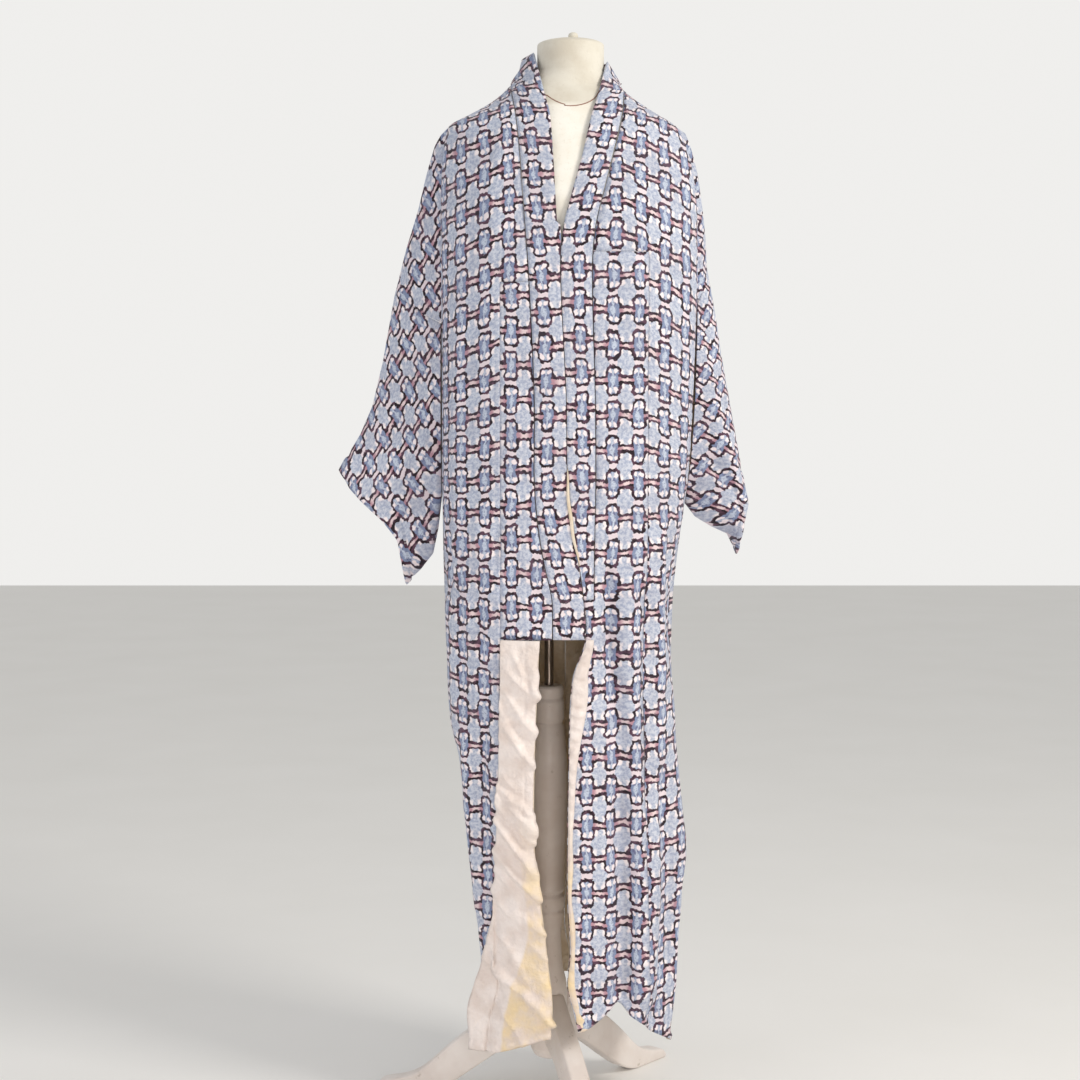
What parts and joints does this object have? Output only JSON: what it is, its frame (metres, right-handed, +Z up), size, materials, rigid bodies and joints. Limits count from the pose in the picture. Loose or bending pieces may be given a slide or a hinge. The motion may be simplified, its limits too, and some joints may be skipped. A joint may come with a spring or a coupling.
{
  "type": "kimono on dress form with stand",
  "caption": "Full-length silk kimono in a small geometric print, hanging open at the hem on a limbless dress form with a turned column and splayed legs.",
  "frame": {"origin": "on the floor, under the middle of the whole object's box", "axes": "+Z up, the front of the garment faces -Y, the wearer's right is at -X"},
  "size_m": [0.655, 0.5138, 1.7373],
  "materials": {
    "print_cloth": "matt printed silk",
    "lining_cloth": "soft silk lining, slight sheen",
    "calico": "matt calico over a firm form",
    "paint": "satin off-white paint",
    "metal": "dull metal tube"
  },
  "bodies": {
    "root": {"form_torso": "calico", "form_knob": "calico", "pole": "metal", "column": "paint", "leg_left": "paint", "leg_front": "paint", "leg_back": "paint", "front_right": "print_cloth", "back_right": "print_cloth", "sleeve_right": "print_cloth", "front_left": "print_cloth", "back_left": "print_cloth", "sleeve_left": "print_cloth", "okumi_right": "print_cloth", "okumi_right_turned": "print_cloth", "okumi_left": "print_cloth", "lining_right": "lining_cloth", "lining_left": "lining_cloth", "collar": "print_cloth"}
  },
  "joints": []
}
